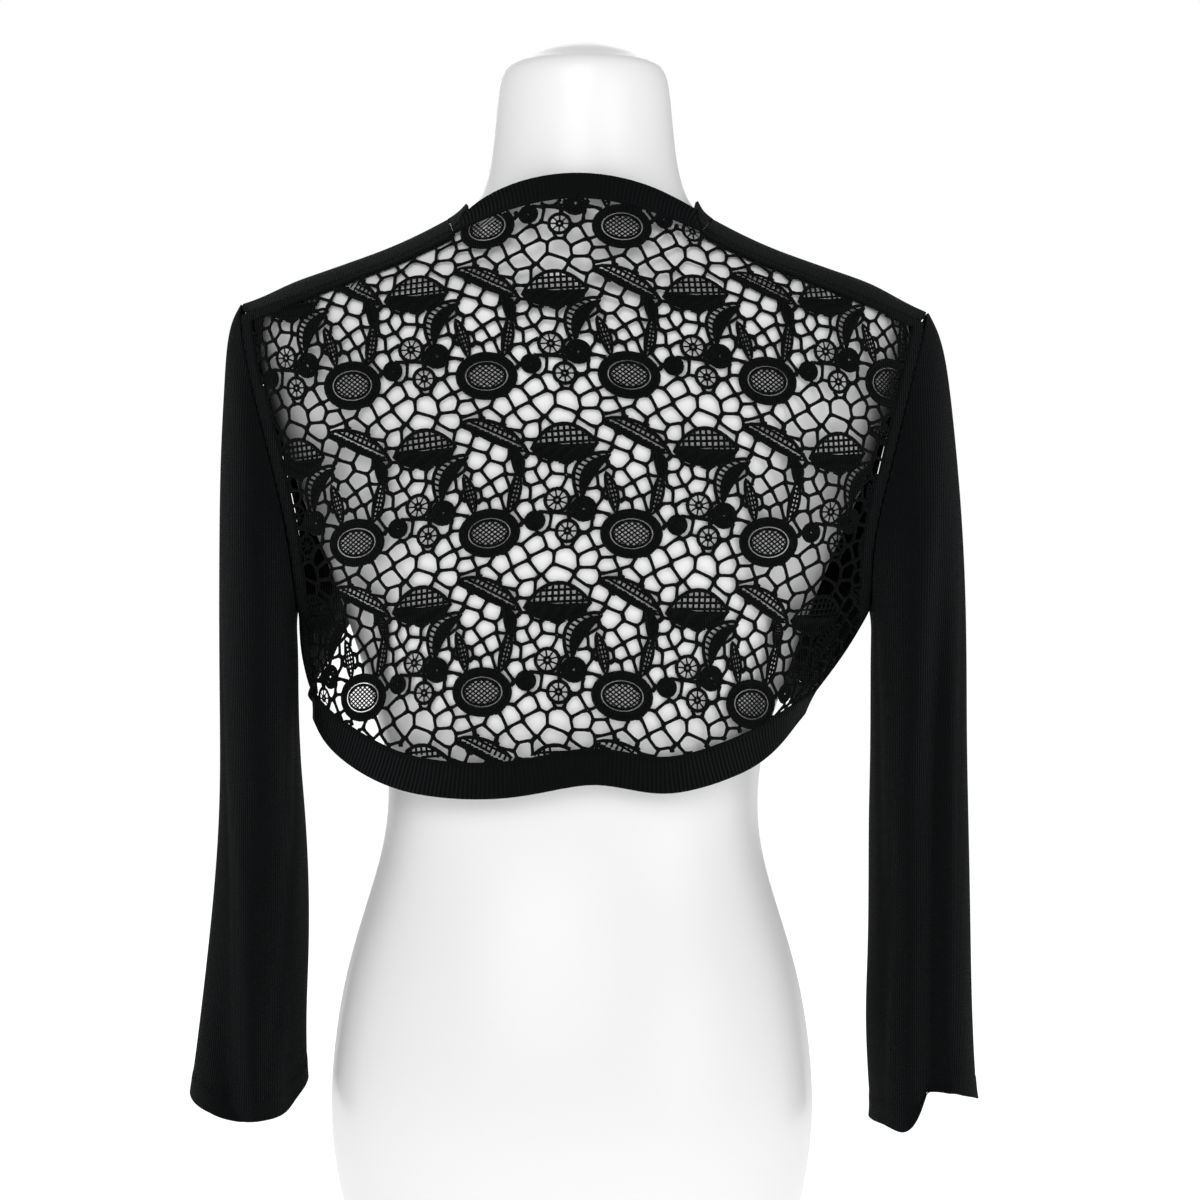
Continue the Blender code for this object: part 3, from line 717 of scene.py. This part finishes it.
def hatch(polygon, spacing, tilt, keep=everywhere, step=0.0008):
    """Parallel threads across an outline, as short straight runs."""
    xs = [p[0] for p in polygon]
    ys = [p[1] for p in polygon]
    cx, cy = sum(xs) / len(xs), sum(ys) / len(ys)
    reach = max(max(xs) - min(xs), max(ys) - min(ys))
    runs_found = []
    offset = -reach
    while offset < reach:
        run, along = [], -reach
        while along < reach:
            x = cx + along * math.cos(tilt) - offset * math.sin(tilt)
            y = cy + along * math.sin(tilt) + offset * math.cos(tilt)
            if inside(polygon, x, y) and keep(x, y):
                run.append((x, y))
            elif run:
                if len(run) > 2:
                    runs_found.append(run)
                run = []
            along += step
        if len(run) > 2:
            runs_found.append(run)
        offset += spacing
    return [[run[0], run[len(run) // 2], run[-1]] for run in runs_found]


def motif_cords():
    """Every motif cord of one repeat, as (points, radius, closed), and the outlines to clear."""
    cords, outlines = [], []

    def outline(points, radius=OUTLINE, clear=True):
        cords.append((points, radius, True))
        if clear:
            outlines.append(points)

    def fill(points, spacing, tilt, radius, keep=everywhere):
        for run in hatch(points, spacing, tilt, keep):
            cords.append((run, radius, False))

    # Flower: a netted oval inside three corded rings, with two slender stems set wide apart
    fx, fy = 0.0200, 0.0200
    rim = oval(fx, fy, 0.0165, 0.0132, 26)
    outline(rim, OUTLINE * 1.3)
    outline(oval(fx, fy, 0.0147, 0.0114, 24), OUTLINE * 0.9, clear=False)
    outline(oval(fx, fy, 0.0131, 0.0098, 24), OUTLINE * 0.9, clear=False)
    core = oval(fx, fy, 0.0108, 0.0076, 20)
    outline(core, OUTLINE * 0.8, clear=False)
    fill(core, 0.0021, math.radians(38), THREAD)
    fill(core, 0.0021, math.radians(-38), THREAD)
    for stem_x, lean in ((-0.0130, 0.20), (0.0125, -0.26)):
        stem = leaf(fx + stem_x, fy + 0.0235, 0.0245, 0.0058, math.pi / 2 + lean, 0.03)
        outline(stem, OUTLINE * 0.9)
        fill(stem, 0.0027, math.pi / 2 + lean + math.radians(90), THREAD * 1.7)
        fill(stem, 0.0019, math.pi / 2 + lean, THREAD * 1.2)

    # Rosettes: rings round a small knot, two of them open with spokes
    for rx, ry, size, spokes in ((0.0475, 0.0335, 0.0066, 0), (0.0625, 0.0385, 0.0068, 9),
                                 (0.0560, 0.0205, 0.0062, 8), (0.0745, 0.0265, 0.0050, 0)):
        outline(oval(rx, ry, size, size, 16), OUTLINE * 1.1)
        outline(oval(rx, ry, size * 0.26, size * 0.26, 7), OUTLINE, clear=False)
        if spokes:
            for k in range(spokes):
                a = 2 * math.pi * k / spokes
                cords.append(([(rx + size * 0.3 * math.cos(a), ry + size * 0.3 * math.sin(a)),
                               (rx + size * math.cos(a), ry + size * math.sin(a))],
                              THREAD * 1.1, False))
        else:
            outline(oval(rx, ry, size * 0.74, size * 0.74, 14), OUTLINE * 0.95, clear=False)
            outline(oval(rx, ry, size * 0.48, size * 0.48, 10), OUTLINE * 0.95, clear=False)

    # Wide leaf: the upper half is netted, the lower half is close stitching
    wide = leaf(0.0585, 0.0705, 0.0370, 0.0215, math.radians(-5), 0.06)
    outline(wide, OUTLINE * 1.15)
    vein_y = 0.0712

    def above_vein(x, y):
        return y > vein_y

    def below_vein(x, y):
        return y <= vein_y

    fill(wide, 0.0034, math.radians(-4), THREAD * 1.7, above_vein)
    fill(wide, 0.0034, math.radians(88), THREAD * 1.7, above_vein)
    fill(wide, CLOSE_STITCH, math.radians(80), THREAD * 1.9, below_vein)
    cords.append(([(0.0415, vein_y), (0.0585, vein_y - 0.001), (0.0755, vein_y)], OUTLINE, False))

    # Slanted leaf: one half netted, the other close stitching
    slant_x, slant_y, slope = 0.0180, 0.0770, math.radians(28)
    slant = leaf(slant_x, slant_y, 0.0400, 0.0105, slope, 0.06)
    outline(slant, OUTLINE * 1.1)

    def lower(x, y):
        return (y - slant_y) < (x - slant_x) * math.tan(slope) + 0.0012

    def upper(x, y):
        return not lower(x, y)

    fill(slant, CLOSE_STITCH, math.radians(100), THREAD * 1.8, lower)
    fill(slant, 0.0030, slope, THREAD * 1.6, upper)
    fill(slant, 0.0030, math.radians(118), THREAD * 1.6, upper)

    # Crescent leaf of close stitching, with a row of small square holes on its outer edge
    crescent = leaf(0.0415, 0.0530, 0.0330, 0.0110, math.radians(-58), 0.20)
    outline(crescent, OUTLINE * 1.1)
    fill(crescent, 0.0030, math.radians(25), THREAD * 1.6)
    inner = leaf(0.0405, 0.0526, 0.0290, 0.0052, math.radians(-58), 0.19)
    outline(inner, OUTLINE, clear=False)
    fill(inner, CLOSE_STITCH, math.radians(-58), THREAD * 1.9)

    # Small bud of close stitching
    bud = leaf(0.0060, 0.0610, 0.0150, 0.0060, math.radians(80), 0.10)
    outline(bud, OUTLINE)
    fill(bud, 0.00155, math.radians(10), THREAD * 1.8)
    return cords, outlines


cords, outlines = motif_cords()
print(len(cords), "motif cords and", len(outlines), "motifs in a repeat")

# %% Net between the motifs
CELL = 0.0092              # typical distance between the middles of two net cells


def net_edges(outlines):
    """Cords of an irregular net over one repeat that matches its neighbours on every side."""
    drawn = random.Random(11)
    seeds = []
    misses = 0
    while misses < 900:
        x, y = drawn.uniform(0, TILE_W), drawn.uniform(0, TILE_H)
        near = False
        for sx, sy in seeds:
            dx = abs(x - sx)
            dy = abs(y - sy)
            dx, dy = min(dx, TILE_W - dx), min(dy, TILE_H - dy)
            if math.hypot(dx, dy) < CELL * 0.82:
                near = True
                break
        if near:
            misses += 1
        else:
            seeds.append((x, y))
    spread = [
        Vector((x + i * TILE_W, y + j * TILE_H))
        for i in (-1, 0, 1) for j in (-1, 0, 1) for x, y in seeds
    ]
    verts, _, faces, _, _, _ = delaunay_2d_cdt(spread, [], [], 0, 1e-7)
    centres = []
    for face in faces:
        a, b, c = (verts[k] for k in face)
        d = 2 * (a.x * (b.y - c.y) + b.x * (c.y - a.y) + c.x * (a.y - b.y))
        ux = (a.dot(a) * (b.y - c.y) + b.dot(b) * (c.y - a.y) + c.dot(c) * (a.y - b.y)) / d
        uy = (a.dot(a) * (c.x - b.x) + b.dot(b) * (a.x - c.x) + c.dot(c) * (b.x - a.x)) / d
        centres.append((ux, uy))
    sides = {}
    for k, face in enumerate(faces):
        for m in range(3):
            sides.setdefault(tuple(sorted((face[m], face[m - 1]))), []).append(k)
    found = []
    shifted = [
        [(x + i * TILE_W, y + j * TILE_H) for x, y in outline]
        for i in (-1, 0, 1) for j in (-1, 0, 1) for outline in outlines
    ]
    for pair in sides.values():
        if len(pair) != 2:
            continue
        (ax, ay), (bx, by) = centres[pair[0]], centres[pair[1]]
        mx, my = (ax + bx) / 2, (ay + by) / 2
        if not (0 <= mx < TILE_W and 0 <= my < TILE_H):
            continue
        length = math.hypot(bx - ax, by - ay)
        if length < 0.0008:
            continue
        bow = drawn.uniform(-0.10, 0.10) * length
        run = []
        steps = max(3, int(length / 0.0011))
        for s in range(steps + 1):
            t = s / steps
            off = bow * 4 * t * (1 - t)
            x = ax + (bx - ax) * t - (by - ay) / length * off
            y = ay + (by - ay) * t + (bx - ax) / length * off
            if any(inside(shape, x, y) for shape in shifted):
                if len(run) > 1:
                    found.append([run[0], run[len(run) // 2], run[-1]])
                run = []
            else:
                run.append((x, y))
        if len(run) > 4:
            last = len(run) - 1
            found.append([run[0], run[last // 4], run[(3 * last) // 4], run[-1]])
        elif len(run) > 1:
            found.append([run[0], run[-1]])
    return found


net = net_edges(outlines)
print(len(net), "net cords in a repeat")

# %% Cords on the panel
LACE_START = (0.032, 0.019)  # where the first repeat's corner lies
FLATTEN = 0.72             # a cord is this much thinner than it is wide
NET_FLARE = 1.45           # net cords widen this much where they meet


def tube(verts, faces, points, normals, radius, closed, sides, flare=1.0):
    """Add a cord through the points to the lists of vertices and faces."""
    count = len(points)
    first = len(verts)
    for i in range(count):
        ahead = points[(i + 1) % count] if closed or i + 1 < count else points[i]
        behind = points[i - 1] if closed or i > 0 else points[i]
        run = (ahead - behind).normalized()
        across = run.cross(normals[i]).normalized()
        up = across.cross(run)
        for k in range(sides):
            a = 2 * math.pi * k / sides
            here = radius * (flare if not closed and i in (0, count - 1) else 1.0)
            verts.append(points[i] + (across * math.cos(a) + up * math.sin(a) * FLATTEN) * here)
    for i in range(count if closed else count - 1):
        j = (i + 1) % count
        for k in range(sides):
            m = (k + 1) % sides
            faces.append((first + i * sides + k, first + i * sides + m,
                          first + j * sides + m, first + j * sides + k))
    if not closed:
        faces.append(tuple(first + k for k in range(sides)))
        faces.append(tuple(first + (count - 1) * sides + k for k in reversed(range(sides))))


def drawn_out(x, y):
    """The lace's own small distortion: it was drawn out unevenly when it was cut and sewn."""
    return (x + 0.0032 * math.sin(y / 0.041 + 0.6) + 0.0020 * math.sin(x / 0.063),
            y + 0.0030 * math.sin(x / 0.052 + 1.1) + 0.0018 * math.sin(y / 0.071 + x / 0.09))


def lay_cords(verts, faces, cords, sides, flare=1.0):
    """Lay every repeat of the cords over the panel."""
    reach = float(max(abs(runs.min()), runs.max()))
    columns = int(reach / TILE_W) + 2
    rows = int(middle_run[-1] / TILE_H) + 2
    for i in range(-columns, columns):
        for j in range(-1, rows):
            corner_x, corner_y = LACE_START[0] + i * TILE_W, LACE_START[1] + j * TILE_H
            for points, radius, closed in cords:
                placed = [on_panel(*drawn_out(x + corner_x, y + corner_y)) for x, y in points]
                if closed and None not in placed:
                    tube(verts, faces, [p[0] for p in placed], [p[1] for p in placed],
                         radius, True, sides)
                    continue
                if closed:
                    placed = placed + placed[:1]
                stretch = []
                for item in placed + [None]:
                    if item is not None:
                        stretch.append(item)
                        continue
                    if len(stretch) > 1:
                        tube(verts, faces, [p[0] for p in stretch], [p[1] for p in stretch],
                             radius, False, sides, flare)
                    stretch = []


# %% Plain strips and seam cord round the lace
ARMHOLE_STRIP = 0.0080
SHOULDER_STRIP = 0.0045
SEAM_CORD = 0.0013
MEETING = 0.0045           # a seam's two edges are nearer than this
SHOULDER_LEVEL = 0.58      # the shoulder seams lie above this height
STRIP_WALL = 0.0018
STRIP_RISE = 0.0002        # the strip lies this far over the lace's ground


def tree_of(node):
    """A CAD node's surface, for distances."""
    bm = bmesh.new()
    bm.from_mesh(node.data)
    made = BVHTree.FromBMesh(bm)
    bm.free()
    return made


def is_near(tree, point, gap):
    """Whether the surface comes within the gap of a point."""
    return tree.find_nearest(point, gap)[0] is not None


sleeves = [tree_of(nodes["sleeve_" + side]) for side in ("left", "right")]
fronts = [tree_of(nodes["front_" + side]) for side in ("left", "right")]
strip_bm = outer_wall(nodes["back_panel"], (0.0, -0.05, 0.5))
strip = finish_mesh(strip_bm, "back_seam_strip")
smooth_cloth(strip, 3)
strip_bm = bmesh.new()
strip_bm.from_mesh(strip.data)
strip_bm.normal_update()
rim = {v for e in strip_bm.edges if e.is_boundary for v in e.verts}
armholes = [v.co.copy() for v in rim if any(is_near(t, v.co, MEETING) for t in sleeves)]
shoulders = [
    v.co.copy() for v in rim
    if v.co.z > SHOULDER_LEVEL and any(is_near(t, v.co, MEETING / 2) for t in fronts)
]


def beside(point, seam, width):
    """Whether a point is within the strip's width of a seam."""
    return any((point - other).length < width for other in seam)


spare = [
    f for f in strip_bm.faces
    if not beside(f.calc_center_median(), armholes, ARMHOLE_STRIP)
    and not beside(f.calc_center_median(), shoulders, SHOULDER_STRIP)
]
bmesh.ops.delete(strip_bm, geom=spare, context="FACES")
strip_bm.to_mesh(strip.data)
strip_bm.free()
displace(strip, lambda p: STRIP_RISE)
write_uv(strip, lambda p: (p.x, p.z))
thicken(strip, STRIP_WALL)
strip.data.materials.append(jersey)
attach(strip, "root")
measured(strip)

rim_edges = {}
for edge in back_bm.edges:
    if edge.is_boundary:
        a, b = edge.verts
        rim_edges.setdefault(a, []).append(b)
        rim_edges.setdefault(b, []).append(a)
start = next(iter(rim_edges))
ring, before = [start], None
while True:
    ahead = next(v for v in rim_edges[ring[-1]] if v is not before)
    if ahead is start:
        break
    before = ring[-1]
    ring.append(ahead)
verts, faces = [], []
back_bm.normal_update()
tube(verts, faces, [v.co - v.normal * LACE_SINK for v in ring], [v.normal for v in ring],
     SEAM_CORD, True, 6)
mesh = bpy.data.meshes.new("back_seam_cord")
mesh.from_pydata(verts, [], faces)
mesh.shade_smooth()
seam = bpy.data.objects.new("back_seam_cord", mesh)
bpy.context.scene.collection.objects.link(seam)
write_uv(seam, lambda p: (p.x, p.z))
mesh.materials.append(jersey)
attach(seam, "root")
measured(seam)

# %% Lace on the back
verts, faces = [], []
lay_cords(verts, faces, [(points, CORD, False) for points in net], 5, NET_FLARE)
lay_cords(verts, faces, cords, 4)
mesh = bpy.data.meshes.new("guipure_lace_back")
mesh.from_pydata(verts, [], faces)
mesh.shade_smooth()
lace = bpy.data.objects.new("guipure_lace_back", mesh)
bpy.context.scene.collection.objects.link(lace)
write_uv(lace, lambda p: (p.x, p.z))
mesh.materials.append(lace_yarn)
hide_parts("back_panel")
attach(lace, "root")
measured(lace)
print("lace triangles", sum(len(face.vertices) - 2 for face in mesh.polygons))
bpy.data.objects.remove(back_surface, do_unlink=True)
back_bm.free()
